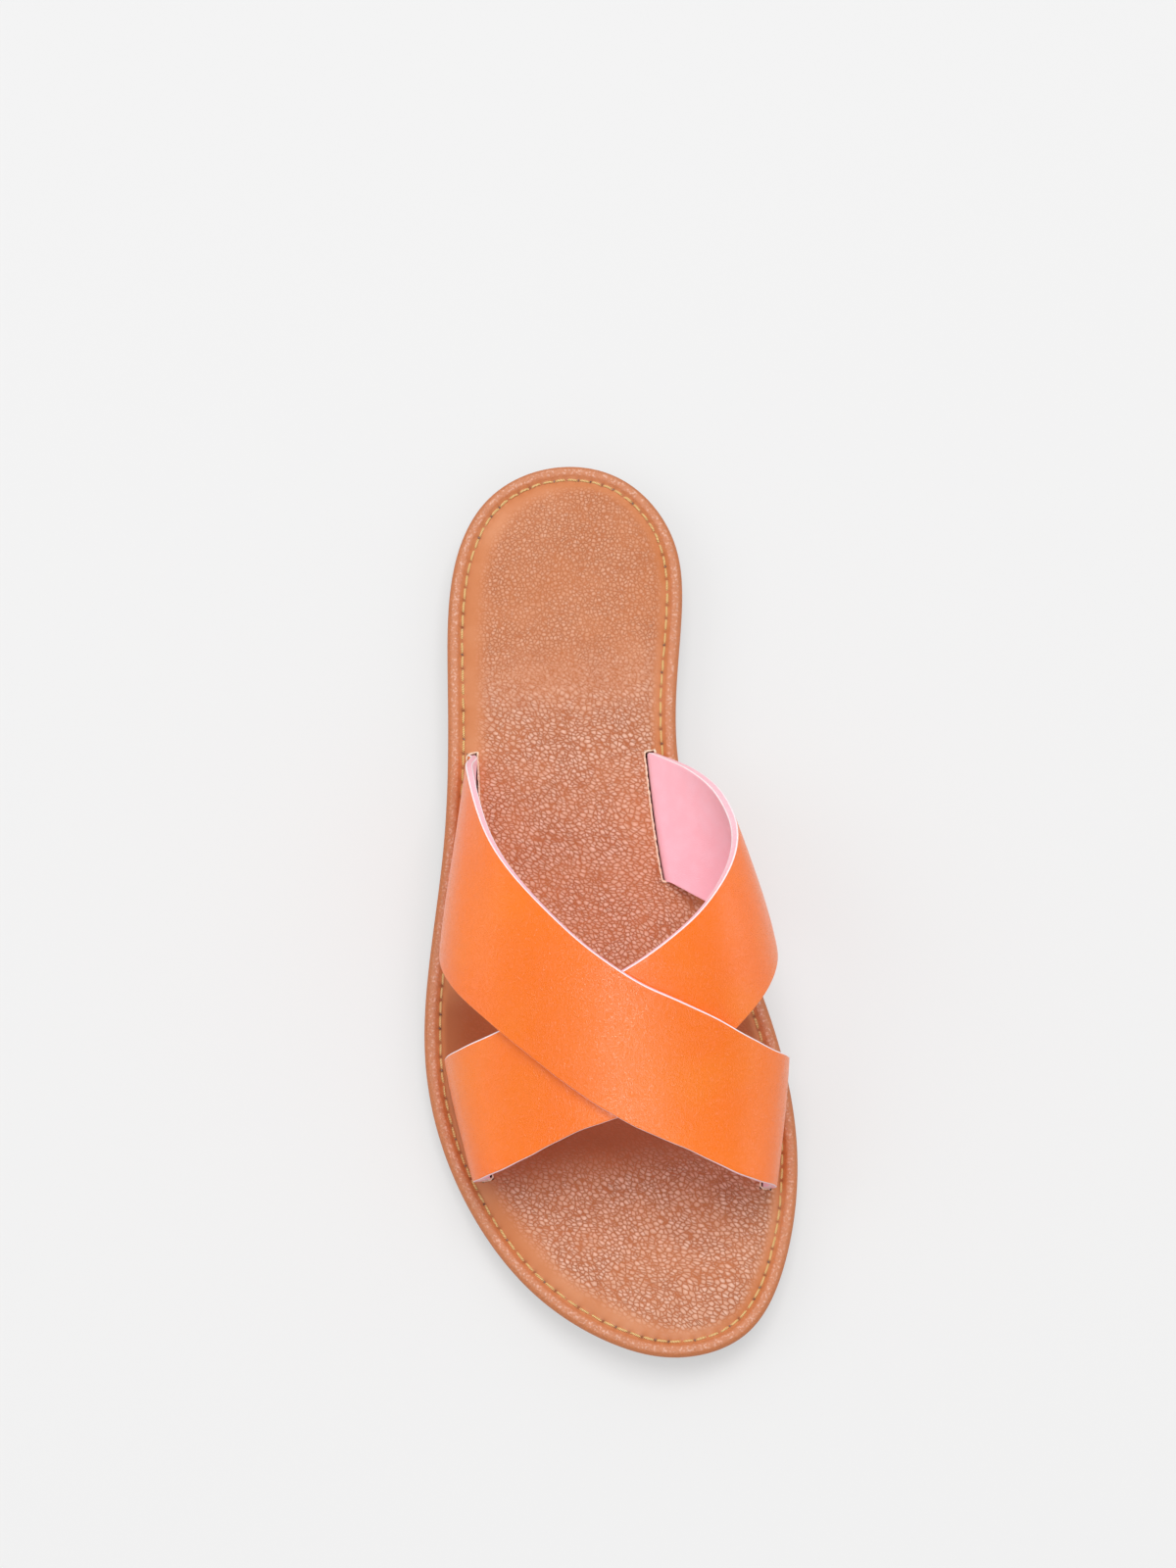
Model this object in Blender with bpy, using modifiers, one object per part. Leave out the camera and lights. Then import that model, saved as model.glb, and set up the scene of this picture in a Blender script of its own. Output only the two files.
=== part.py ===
# Right-foot slide sandal with two crossed leather straps.
# Metres, +Z up, heel towards +Y, toes towards -Y, big-toe side towards +X.
# The origin is on the floor, under the middle of the sole.

import bpy
import bmesh
import numpy as np
from mathutils import Vector

# Sizes of the last
SOLE_LENGTH = 0.250
BALL_WIDTH = 0.097
INSTEP_HEIGHT = 0.060
HEEL_LIFT = 0.0048
TOE_SPRING = 0.0045

# Sizes of the sole unit
OUTSOLE_THICKNESS = 0.0045
OUTSOLE_INSET = 0.0011
SOLE_EDGE_BEVEL = 0.0008
FOOTBED_THICKNESS = 0.0053
RIM_WIDTH = 0.0042
RIM_DROP = 0.0011
GROOVE_DEPTH = 0.0009
PAD_BORDER = 0.0125

# Sizes of the straps and their slots
STRAP_THICKNESS = 0.0020
STRAP_BOND = 0.00025
STRAP_RISE = 0.0006
SLOT_CLEARANCE = 0.00045
SEAT_GAP = 0.0003

# Places along the sole, as shares of its length counted from the heel end
HEEL_BREAST_SHARE = 0.29
HEEL_SEAT_SHARE = 0.26
FOREFOOT_SHARE = 0.66
SPRING_SHARE = 0.74

# Outline of the footbed's widest edge, lateral side first, then back along the medial side.
# Columns: share of SOLE_LENGTH from the heel, share of BALL_WIDTH across, medial side positive
OUTLINE = (
    (0.000, 0.059), (0.028, -0.135), (0.107, -0.258), (0.234, -0.312), (0.420, -0.381),
    (0.627, -0.496), (0.789, -0.449), (0.913, -0.277), (0.979, -0.069), (1.000, 0.103),
    (0.985, 0.277), (0.921, 0.406), (0.785, 0.494), (0.622, 0.457), (0.486, 0.362),
    (0.347, 0.308), (0.207, 0.363), (0.102, 0.379), (0.024, 0.258),
)
TOE_POINT = 9

# Cross-sections of the form that the straps follow.
# Columns: share along from the heel, then shares of BALL_WIDTH across for the two feet and
# the two widest sides, then shares of INSTEP_HEIGHT for the two sides' heights and the top's,
# and the top's place across as a share of BALL_WIDTH
SECTIONS = (
    # along, foot_lat, foot_med, side_lat, side_med, low_lat, low_med, top, top_across
    (0.31, -0.266, 0.236, -0.247, 0.312, 0.108, 0.387, 1.027, 0.255),
    (0.45, -0.309, 0.234, -0.336, 0.412, 0.187, 0.480, 1.005, 0.062),
    (0.60, -0.401, 0.289, -0.429, 0.490, 0.145, 0.301, 0.897, 0.100),
    (0.75, -0.381, 0.411, -0.410, 0.453, 0.134, 0.164, 0.604, 0.101),
    (0.90, -0.312, 0.343, -0.356, 0.358, 0.088, 0.092, 0.411, 0.062),
)
CROWN_POWER = 2.15

# Edges of the two bands, as shares of SOLE_LENGTH from the heel.
# Columns: share of the way over the foot from the lateral slot, rear edge, front edge
OVER_BAND = (
    (0.0, 0.320, 0.489), (0.2, 0.380, 0.609), (0.4, 0.571, 0.729),
    (0.6, 0.664, 0.795), (0.8, 0.705, 0.835), (1.0, 0.685, 0.832),
)
UNDER_BAND = (
    (0.0, 0.656, 0.786), (0.2, 0.660, 0.793), (0.4, 0.639, 0.769),
    (0.6, 0.571, 0.733), (0.8, 0.429, 0.604), (1.0, 0.342, 0.486),
)
LIFT_RAMP_SHARE = 0.22

# Mesh resolution
OUTLINE_POINTS = 112
HEEL_POINTS = 44
BAND_STEPS = 52
BAND_ROWS = 7
SLOT_STEPS = 8
SECTION_STEPS = 24
NORMAL_PROBE = 0.0001


def smoothstep(t):
    t = np.clip(t, 0.0, 1.0)
    return t * t * (3.0 - 2.0 * t)


def natural_spline(knots, values):
    """Return a function for the natural cubic spline through the rows of values."""
    knots = np.asarray(knots, float)
    values = np.asarray(values, float)
    count = len(knots)
    step = np.diff(knots)
    slope = (np.diff(values, axis=0).T / step).T
    matrix = np.eye(count)
    right = np.zeros_like(values)
    for i in range(1, count - 1):
        matrix[i, i - 1:i + 2] = step[i - 1], 2.0 * (step[i - 1] + step[i]), step[i]
        right[i] = 6.0 * (slope[i] - slope[i - 1])
    bend = np.linalg.solve(matrix, right)

    def at(where):
        where = np.atleast_1d(np.asarray(where, float))
        i = np.clip(np.searchsorted(knots, where) - 1, 0, count - 2)
        shape = (-1,) + (1,) * (values.ndim - 1)
        h = step[i].reshape(shape)
        a = (knots[i + 1] - where).reshape(shape) / h
        b = 1.0 - a
        curve = ((a ** 3 - a) * bend[i] + (b ** 3 - b) * bend[i + 1]) * h * h / 6.0
        return a * values[i] + b * values[i + 1] + curve

    return at


def closed_spline(points):
    """Return knots and a function for the smooth closed curve through the points."""
    points = np.asarray(points, float)
    count = len(points)
    laps = np.vstack([points, points, points, points[:1]])
    knots = np.concatenate([[0.0], np.cumsum(np.sqrt(np.linalg.norm(np.diff(laps, axis=0), axis=1)))])
    curve = natural_spline(knots, laps)
    start, end = knots[count], knots[2 * count]
    return knots[count:2 * count + 1] - start, lambda t: curve(start + np.mod(t, end - start))


def to_y(along):
    return (0.5 - np.asarray(along, float)) * SOLE_LENGTH


def underside_z(y):
    """Height of the outsole's underside: flat forefoot, ramp over the waist, toe spring."""
    along = 0.5 - np.asarray(y, float) / SOLE_LENGTH
    heel = smoothstep((FOREFOOT_SHARE - along) / (FOREFOOT_SHARE - HEEL_SEAT_SHARE))
    toe = np.clip((along - SPRING_SHARE) / (1.0 - SPRING_SHARE), 0.0, 1.0)
    return HEEL_LIFT * heel + TOE_SPRING * toe ** 2


def footbed_bottom_z(y):
    return underside_z(y) + OUTSOLE_THICKNESS + SEAT_GAP


def footbed_top_z(y):
    return footbed_bottom_z(y) + FOOTBED_THICKNESS


def resample(curve, start, end, count):
    """Points of a curve between two parameters, evenly spaced by length."""
    dense = np.linspace(start, end, 400)
    points = curve(dense)
    length = np.concatenate([[0.0], np.cumsum(np.linalg.norm(np.diff(points, axis=0), axis=1))])
    wanted = np.linspace(0.0, length[-1], count + 1)
    return curve(np.interp(wanted, length, dense))


def sole_outline():
    """Outline points from the heel end along the lateral side to the toe and back."""
    table = np.array(OUTLINE)
    points = np.column_stack([table[:, 1] * BALL_WIDTH, to_y(table[:, 0])])
    knots, curve = closed_spline(points)
    half = OUTLINE_POINTS // 2
    lateral = resample(curve, knots[0], knots[TOE_POINT], half)
    medial = resample(curve, knots[TOE_POINT], knots[-1], half)
    ring = np.vstack([lateral[:-1], medial[:-1]])
    ring[:, 0] -= 0.5 * (ring[:, 0].max() + ring[:, 0].min())
    return ring


def inset(ring, distance):
    """Move a closed outline inwards, square to itself."""
    tangent = np.roll(ring, -1, axis=0) - np.roll(ring, 1, axis=0)
    tangent /= np.linalg.norm(tangent, axis=1, keepdims=True)
    inward = np.column_stack([-tangent[:, 1], tangent[:, 0]])
    return ring + inward * distance


def loft(bm, rings):
    """Join rings of equal count with quads and close both ends with cross rungs."""
    rows = [[bm.verts.new(Vector(point)) for point in ring] for ring in rings]
    count = len(rows[0])
    for lower, upper in zip(rows, rows[1:]):
        for i in range(count):
            j = (i + 1) % count
            bm.faces.new((lower[i], lower[j], upper[j], upper[i]))
    for row in (rows[0], rows[-1]):
        fill_rungs(bm, row)


def fill_rungs(bm, row):
    """Close a ring with rungs between its two sides, paired from the first point on."""
    count = len(row)
    left = row[:count // 2 + 1]
    right = [row[0]] + row[:count // 2 - 1:-1]
    for i in range(count // 2):
        corners = []
        for vert in (left[i], left[i + 1], right[i + 1], right[i]):
            if vert not in corners:
                corners.append(vert)
        if len(corners) > 2:
            bm.faces.new(corners)


def sheet(bm, grid):
    """An open sheet of quads through a grid of points."""
    rows = [[bm.verts.new(Vector(point)) for point in line] for line in grid]
    for lower, upper in zip(rows, rows[1:]):
        for i in range(len(lower) - 1):
            bm.faces.new((lower[i], lower[i + 1], upper[i + 1], upper[i]))


def make_object(name, bm, collection, material=None, smooth_angle=0.6):
    bmesh.ops.recalc_face_normals(bm, faces=bm.faces)
    mesh = bpy.data.meshes.new(name)
    bm.to_mesh(mesh)
    bm.free()
    mesh.shade_smooth()
    mesh.set_sharp_from_angle(angle=smooth_angle)
    obj = bpy.data.objects.new(name, mesh)
    if material:
        mesh.materials.append(material)
    collection.objects.link(obj)
    return obj


def make_material(name, colour, roughness):
    material = bpy.data.materials.new(name)
    material.use_nodes = True
    shader = material.node_tree.nodes["Principled BSDF"]
    shader.inputs["Base Color"].default_value = (*colour, 1.0)
    shader.inputs["Roughness"].default_value = roughness
    shader.inputs["Metallic"].default_value = 0.0
    return material


def add_solidify(obj, thickness):
    modifier = obj.modifiers.new("Wall", "SOLIDIFY")
    modifier.thickness = thickness
    modifier.offset = 0.0
    modifier.use_even_offset = True


def add_boolean(obj, other, operation):
    modifier = obj.modifiers.new(operation.title(), "BOOLEAN")
    modifier.operation = operation
    modifier.solver = "EXACT"
    modifier.object = other


def ring_at(outline, distance, height):
    """A ring of the outline inset by a distance, its height a function of y."""
    ring = inset(outline, distance)
    return np.column_stack([ring, height(ring[:, 1])])


def build_footbed(outline, collection, material):
    """Wrapped board: rounded rim, stitch groove, and a pad that swells from it."""
    pad_run = PAD_BORDER - RIM_WIDTH
    groove_drop = RIM_DROP + GROOVE_DEPTH
    half_rim = 0.5 * RIM_WIDTH
    waist_drop = 0.6 * FOOTBED_THICKNESS
    # Columns: inset from the widest edge, drop below the pad's top
    profile = [
        (0.38 * RIM_WIDTH, FOOTBED_THICKNESS),
        (0.10 * RIM_WIDTH, 0.5 * (FOOTBED_THICKNESS + waist_drop)),
        (0.0, waist_drop),
        (0.11 * RIM_WIDTH, RIM_DROP + 0.42 * (waist_drop - RIM_DROP)),
        (0.30 * RIM_WIDTH, RIM_DROP + 0.10 * (waist_drop - RIM_DROP)),
        (half_rim, RIM_DROP),
        (0.78 * RIM_WIDTH, RIM_DROP + 0.35 * GROOVE_DEPTH),
        (RIM_WIDTH, groove_drop),
        (RIM_WIDTH + 0.12 * pad_run, 0.80 * groove_drop),
        (RIM_WIDTH + 0.35 * pad_run, 0.36 * groove_drop),
        (RIM_WIDTH + 0.65 * pad_run, 0.08 * groove_drop),
        (PAD_BORDER, 0.0),
    ]
    bm = bmesh.new()
    loft(bm, [ring_at(outline, d, lambda y, drop=drop: footbed_top_z(y) - drop) for d, drop in profile])
    return make_object("footbed", bm, collection, material)


def build_outsole(outline, collection, material):
    top = OUTSOLE_THICKNESS
    profile = [
        (OUTSOLE_INSET + SOLE_EDGE_BEVEL, 0.0),
        (OUTSOLE_INSET, SOLE_EDGE_BEVEL),
        (OUTSOLE_INSET, top - 0.4 * SOLE_EDGE_BEVEL),
        (OUTSOLE_INSET + 0.4 * SOLE_EDGE_BEVEL, top),
    ]
    bm = bmesh.new()
    loft(bm, [ring_at(outline, d, lambda y, up=up: underside_z(y) + up) for d, up in profile])
    return make_object("outsole", bm, collection, material)


def heel_ring(outline, distance, breast_y):
    """The part of the inset outline behind the breast line, from side to side round the heel."""
    ring = inset(outline, distance)
    half = len(ring) // 2
    sides = []
    for side in (ring[:half], np.vstack([ring[:1], ring[:half:-1]])):
        length = np.concatenate([[0.0], np.cumsum(np.linalg.norm(np.diff(side, axis=0), axis=1))])
        end = np.interp(-breast_y, -side[:, 1], length)
        wanted = np.linspace(0.0, end, HEEL_POINTS // 2 + 1)
        sides.append(np.column_stack([np.interp(wanted, length, side[:, k]) for k in (0, 1)]))
    return np.vstack([sides[0], sides[1][:0:-1]])


def build_heel(outline, collection, material):
    breast_y = float(to_y(HEEL_BREAST_SHARE))
    bm = bmesh.new()
    rings = []
    for distance, height in (
        (OUTSOLE_INSET + SOLE_EDGE_BEVEL, lambda y: 0.0 * y),
        (OUTSOLE_INSET, lambda y: 0.0 * y + SOLE_EDGE_BEVEL),
        (OUTSOLE_INSET, lambda y: underside_z(y) - SEAT_GAP),
    ):
        ring = heel_ring(outline, distance, breast_y)
        rings.append(np.column_stack([ring, height(ring[:, 1])]))
    loft(bm, rings)
    return make_object("heel", bm, collection, material)


def strap_form(share, y):
    """Point of the form that the bands follow: share of the way over, at a place y along."""
    table = np.array(SECTIONS)
    row = natural_spline(table[:, 0], table[:, 1:])(0.5 - y / SOLE_LENGTH)
    foot_lat, foot_med, side_lat, side_med = (row[:, k:k + 1] * BALL_WIDTH for k in range(4))
    low_lat, low_med, top = (row[:, k:k + 1] * INSTEP_HEIGHT for k in (4, 5, 6))
    top_x = row[:, 7:8] * BALL_WIDTH
    climb = np.linspace(0.0, 1.0, SECTION_STEPS // 2)
    turn = np.linspace(0.0, 0.5 * np.pi, SECTION_STEPS)[1:]
    out, up = np.cos(turn) ** (2.0 / CROWN_POWER), np.sin(turn) ** (2.0 / CROWN_POWER)
    x = np.hstack([
        side_lat - (side_lat - foot_lat) * (1.0 - climb) ** 2,
        top_x - (top_x - side_lat) * out,
        (top_x + (side_med - top_x) * out)[:, -2::-1],
        (side_med - (side_med - foot_med) * (1.0 - climb) ** 2)[:, ::-1],
    ])
    z = np.hstack([
        low_lat * climb,
        low_lat + (top - low_lat) * up,
        (low_med + (top - low_med) * up)[:, -2::-1],
        (low_med * climb)[:, ::-1],
    ])
    length = np.cumsum(np.hypot(np.diff(x), np.diff(z)), axis=1)
    length = np.hstack([np.zeros((len(length), 1)), length]) / length[:, -1:]
    points = np.empty((len(share), 3))
    for i, s in enumerate(share):
        points[i, 0] = np.interp(s, length[i], x[i])
        points[i, 2] = np.interp(s, length[i], z[i])
    points[:, 1] = y
    points[:, 2] += footbed_top_z(y) + STRAP_RISE
    return points


def band_edges(table):
    rows = np.array(table)
    return natural_spline(rows[:, 0], rows[:, 1:])


def band_grid(table, lift):
    """Middle surface of a band, with a straight tail at each end that goes down its slot."""
    edges = band_edges(table)
    shares = np.linspace(0.0, 1.0, BAND_STEPS + 1)
    across = np.linspace(0.0, 1.0, BAND_ROWS + 1)
    ends = to_y(edges(shares))
    y = ends[:, :1] * (1.0 - across) + ends[:, 1:] * across
    share = np.repeat(shares[:, None], len(across), axis=1)
    points = strap_form(share.ravel(), y.ravel())
    over = strap_form(np.clip(share.ravel() + NORMAL_PROBE, 0.0, 1.0), y.ravel())
    back = strap_form(np.clip(share.ravel() - NORMAL_PROBE, 0.0, 1.0), y.ravel())
    ahead = strap_form(share.ravel(), y.ravel() - NORMAL_PROBE)
    normal = np.cross(over - back, ahead - points)
    normal /= np.linalg.norm(normal, axis=1, keepdims=True)
    normal *= np.sign(normal[len(normal) // 2, 2])
    ramp = smoothstep(np.minimum(share.ravel(), 1.0 - share.ravel()) / LIFT_RAMP_SHARE)
    points += normal * (lift * ramp)[:, None]
    grid = points.reshape(len(shares), len(across), 3)
    tails = []
    for row in (grid[0], grid[-1]):
        tail = row.copy()
        tail[:, 2] = footbed_bottom_z(tail[:, 1])
        tails.append(tail)
    return np.concatenate([tails[:1], grid, tails[1:]])


def build_band(name, table, lift, collection, material=None):
    bm = bmesh.new()
    sheet(bm, band_grid(table, lift))
    band = make_object(name, bm, collection, material)
    add_solidify(band, STRAP_THICKNESS)
    return band


def build_slot_cutter(name, table, side, collection):
    """Upright curved blade along a band's foot, wider than the band by the clearance."""
    rear, front = to_y(band_edges(table)(side)[0])
    y = np.linspace(rear + SLOT_CLEARANCE, front - SLOT_CLEARANCE, SLOT_STEPS + 1)
    foot = strap_form(np.full(len(y), float(side)), y)
    low, high = foot.copy(), foot.copy()
    low[:, 2] = footbed_bottom_z(y) - FOOTBED_THICKNESS
    high[:, 2] = footbed_top_z(y) + FOOTBED_THICKNESS
    bm = bmesh.new()
    sheet(bm, [low, high])
    cutter = make_object(name, bm, collection)
    add_solidify(cutter, STRAP_THICKNESS + 2.0 * SLOT_CLEARANCE)
    return cutter


def main():
    for obj in list(bpy.data.objects):
        bpy.data.objects.remove(obj, do_unlink=True)

    parts = bpy.data.collections.new("cross_strap_sandal")
    cutters = bpy.data.collections.new("cutters")
    for collection in (parts, cutters):
        bpy.context.scene.collection.children.link(collection)

    tan_leather = make_material("tan_leather", (0.56, 0.22, 0.09), 0.5)
    orange_leather = make_material("orange_leather", (1.0, 0.23, 0.03), 0.45)
    brown_rubber = make_material("brown_rubber", (0.20, 0.09, 0.04), 0.7)

    outline = sole_outline()
    build_outsole(outline, parts, brown_rubber)
    build_heel(outline, parts, brown_rubber)

    footbed = build_footbed(outline, parts, tan_leather)
    for band_name, table in (("over", OVER_BAND), ("under", UNDER_BAND)):
        for side_name, side in (("lateral", 0), ("medial", 1)):
            cutter = build_slot_cutter(f"{band_name}_{side_name}_slot", table, side, cutters)
            add_boolean(footbed, cutter, "DIFFERENCE")

    straps = build_band("cross_straps", UNDER_BAND, 0.0, parts, orange_leather)
    over = build_band("over_band", OVER_BAND, STRAP_THICKNESS - STRAP_BOND, cutters)
    add_boolean(straps, over, "UNION")

    for cutter in cutters.objects:
        cutter.hide_render = True
        cutter.display_type = "WIRE"


main()
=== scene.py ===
import math
import bpy
import bmesh
import numpy as np
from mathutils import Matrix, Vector


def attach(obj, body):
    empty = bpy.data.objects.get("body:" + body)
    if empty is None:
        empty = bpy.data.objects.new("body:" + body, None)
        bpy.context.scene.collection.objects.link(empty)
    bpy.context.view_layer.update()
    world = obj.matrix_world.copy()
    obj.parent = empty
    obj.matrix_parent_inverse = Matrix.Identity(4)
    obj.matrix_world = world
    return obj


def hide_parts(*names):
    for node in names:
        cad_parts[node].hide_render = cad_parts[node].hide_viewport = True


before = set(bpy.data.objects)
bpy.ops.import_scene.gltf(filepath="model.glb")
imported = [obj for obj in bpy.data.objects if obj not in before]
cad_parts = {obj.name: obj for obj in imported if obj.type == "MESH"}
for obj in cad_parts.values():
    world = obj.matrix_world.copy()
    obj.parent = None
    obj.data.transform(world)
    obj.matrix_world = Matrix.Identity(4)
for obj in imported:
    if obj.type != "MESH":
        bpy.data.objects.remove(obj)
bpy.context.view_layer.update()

# sizes of the last and the sole unit in metres, toes at -Y, big-toe side at +X
sandal = dict(
    soleLength=0.250, ballWidth=0.097, instepHeight=0.060, heelLift=0.0048, toeSpring=0.0045,
    outsole=0.0045, footbed=0.0053, seatGap=0.0003, strapRise=0.0006,
    heelBreast=0.29, heelSeatEnd=0.26, forefootStart=0.66, springStart=0.74,
    toePoint=9, curveSteps=4000,  # row of the outline at the toe, samples of the curve on each side
    # widest edge of the footbed: share of the length from the heel, share of the width across
    outline=(
        (0.000, 0.059), (0.028, -0.135), (0.107, -0.258), (0.234, -0.312), (0.420, -0.381),
        (0.627, -0.496), (0.789, -0.449), (0.913, -0.277), (0.979, -0.069), (1.000, 0.103),
        (0.985, 0.277), (0.921, 0.406), (0.785, 0.494), (0.622, 0.457), (0.486, 0.362),
        (0.347, 0.308), (0.207, 0.363), (0.102, 0.379), (0.024, 0.258),
    ),
)


def smooth(t):
    t = np.clip(t, 0.0, 1.0)
    return t * t * (3.0 - 2.0 * t)


def bump(x, centre, width):
    return np.exp(-((x - centre) / width) ** 2)


def spline(knots, values):
    # natural cubic spline through rows of values
    knots, values = np.asarray(knots, float), np.asarray(values, float)
    count = len(knots)
    step = np.diff(knots)
    slope = (np.diff(values, axis=0).T / step).T
    matrix, right = np.eye(count), np.zeros_like(values)
    for i in range(1, count - 1):
        matrix[i, i - 1:i + 2] = step[i - 1], 2 * (step[i - 1] + step[i]), step[i]
        right[i] = 6 * (slope[i] - slope[i - 1])
    bend = np.linalg.solve(matrix, right)

    def at(where):
        where = np.atleast_1d(np.asarray(where, float))
        i = np.clip(np.searchsorted(knots, where) - 1, 0, count - 2)
        tall = (-1,) + (1,) * (values.ndim - 1)
        h = step[i].reshape(tall)
        a = (knots[i + 1] - where).reshape(tall) / h
        b = 1 - a
        curved = (a ** 3 - a) * bend[i] + (b ** 3 - b) * bend[i + 1]
        return a * values[i] + b * values[i + 1] + curved * h * h / 6

    return at


def lengths(points, closed=False):
    loop = np.vstack([points, points[:1]]) if closed else points
    return np.concatenate([[0.0], np.cumsum(np.linalg.norm(np.diff(loop, axis=0), axis=1))])


def evenly(points, count):
    # the same polyline with equal steps
    run = lengths(points)
    want = np.linspace(0, run[-1], count + 1)
    return np.column_stack([np.interp(want, run, points[:, k]) for k in range(points.shape[1])])


def toY(along):
    return (0.5 - np.asarray(along, float)) * sandal["soleLength"]


def underZ(y):
    # underside of the outsole: flat forefoot, ramp over the waist, toe spring
    along = 0.5 - np.asarray(y, float) / sandal["soleLength"]
    ramp = smooth((sandal["forefootStart"] - along) / (sandal["forefootStart"] - sandal["heelSeatEnd"]))
    spring = np.clip((along - sandal["springStart"]) / (1 - sandal["springStart"]), 0, 1)
    return sandal["heelLift"] * ramp + sandal["toeSpring"] * spring ** 2


def bedBottomZ(y):
    return underZ(y) + sandal["outsole"] + sandal["seatGap"]


def bedTopZ(y):
    return bedBottomZ(y) + sandal["footbed"]


def outlineRing(halfSteps):
    # closed outline with equal steps on each side, from the heel end along the lateral side
    table = np.array(sandal["outline"])
    points = np.column_stack([table[:, 1] * sandal["ballWidth"], toY(table[:, 0])])
    laps = np.vstack([points, points, points, points[:1]])
    knots = np.concatenate([[0.0], np.cumsum(np.sqrt(np.linalg.norm(np.diff(laps, axis=0), axis=1)))])
    curve = spline(knots, laps)
    lap = len(points)
    first, toe, last = (knots[k] for k in (lap, lap + sandal["toePoint"], 2 * lap))
    lateral = evenly(curve(np.linspace(first, toe, sandal["curveSteps"])), halfSteps)
    medial = evenly(curve(np.linspace(toe, last, sandal["curveSteps"])), halfSteps)
    ring = np.vstack([lateral[:-1], medial[:-1]])
    ring[:, 0] -= 0.5 * (ring[:, 0].max() + ring[:, 0].min())
    return ring


def inwardOf(ring):
    # unit vectors square to the ring, towards its inside
    run = np.roll(ring, -1, axis=0) - np.roll(ring, 1, axis=0)
    run /= np.linalg.norm(run, axis=1, keepdims=True)
    return np.column_stack([-run[:, 1], run[:, 0]])


def newPiece(name, verts, faces, materials, faceMaterial=None, sharp=0.9, slot=None):
    mesh = bpy.data.meshes.new(name)
    mesh.from_pydata([tuple(v) for v in verts], [], [tuple(int(i) for i in f) for f in faces])
    for material in materials:
        mesh.materials.append(material)
    if faceMaterial is not None:
        mesh.polygons.foreach_set("material_index", np.asarray(faceMaterial, np.int32))
    mesh.shade_smooth()
    mesh.set_sharp_from_angle(angle=sharp)
    piece = bpy.data.objects.new(name, mesh)
    bpy.context.scene.collection.objects.link(piece)
    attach(piece, "root")
    return piece


def outwards(piece):
    bm = bmesh.new()
    bm.from_mesh(piece.data)
    bmesh.ops.recalc_face_normals(bm, faces=bm.faces)
    bm.to_mesh(piece.data)
    bm.free()


def gridFaces(rows, columns, closeRows=False, closeColumns=False, start=0):
    # quads over a grid of points stored row by row
    r = np.arange(rows if closeRows else rows - 1)
    c = np.arange(columns if closeColumns else columns - 1)
    i, j = np.meshgrid(r, c, indexing="ij")
    i2, j2 = (i + 1) % rows, (j + 1) % columns
    quads = np.stack([i * columns + j, i * columns + j2, i2 * columns + j2, i2 * columns + j], axis=-1)
    return quads.reshape(-1, 4) + start


def unit(v):
    return v / np.maximum(np.linalg.norm(v, axis=-1, keepdims=True), 1e-12)


def tube(line, side, up, radius, squash=1.0):
    # points and faces of a closed tube round a line; one radius for each row and turn
    rows, sides = radius.shape
    turn = np.linspace(0, 2 * np.pi, sides, endpoint=False)
    points = line[:, None] + side[..., None, :] * (radius * np.cos(turn))[..., None]
    points = points + up[..., None, :] * (radius * np.sin(turn) * squash)[..., None]
    last = (rows - 1) * sides
    caps = [list(range(sides))[::-1], [last + k for k in range(sides)]]
    return points.reshape(-1, 3), gridFaces(rows, sides, closeColumns=True).tolist() + caps


def joined(parts):
    # several parts' points in one array, and their faces numbered on
    points, faces, start = [], [], 0
    for partPoints, partFaces in parts:
        points.append(partPoints)
        faces += [[i + start for i in face] for face in partFaces]
        start += len(partPoints)
    return np.concatenate(points), faces


def spanRing(start, ring, columns, height, base):
    # fill a ring with rungs from side to side, with columns of points between them
    half = len(ring) // 2
    left, right = ring[1:half, :2], ring[:half:-1, :2]
    t = np.linspace(0, 1, columns + 1)[1:-1]
    flat = left[:, None] * (1 - t[:, None]) + right[:, None] * t[:, None]
    points = np.concatenate([flat, height(flat[..., 0], flat[..., 1])[..., None]], axis=-1)
    index = np.empty((half - 1, columns + 1), int)
    index[:, 0] = start + np.arange(1, half)
    index[:, -1] = start + np.arange(len(ring) - 1, half, -1)
    index[:, 1:-1] = base + np.arange((half - 1) * (columns - 1)).reshape(half - 1, columns - 1)
    quads = np.stack([index[:-1, :-1], index[:-1, 1:], index[1:, 1:], index[1:, :-1]], axis=-1)
    ends = [[start, *index[0].tolist()], [start + half, *index[-1][::-1].tolist()]]
    return points.reshape(-1, 3), quads.reshape(-1, 4).tolist() + ends


def applyModifiers(piece):
    graph = bpy.context.evaluated_depsgraph_get()
    done = bpy.data.meshes.new_from_object(piece.evaluated_get(graph))
    piece.modifiers.clear()
    piece.data = done


def setFloat(piece, name, values):
    layer = piece.data.attributes.new(name, "FLOAT", "POINT")
    layer.data.foreach_set("value", np.asarray(values, np.float32))


def positions(piece):
    flat = np.empty(len(piece.data.vertices) * 3, np.float32)
    piece.data.vertices.foreach_get("co", flat)
    return flat.reshape(-1, 3).astype(float)


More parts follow.
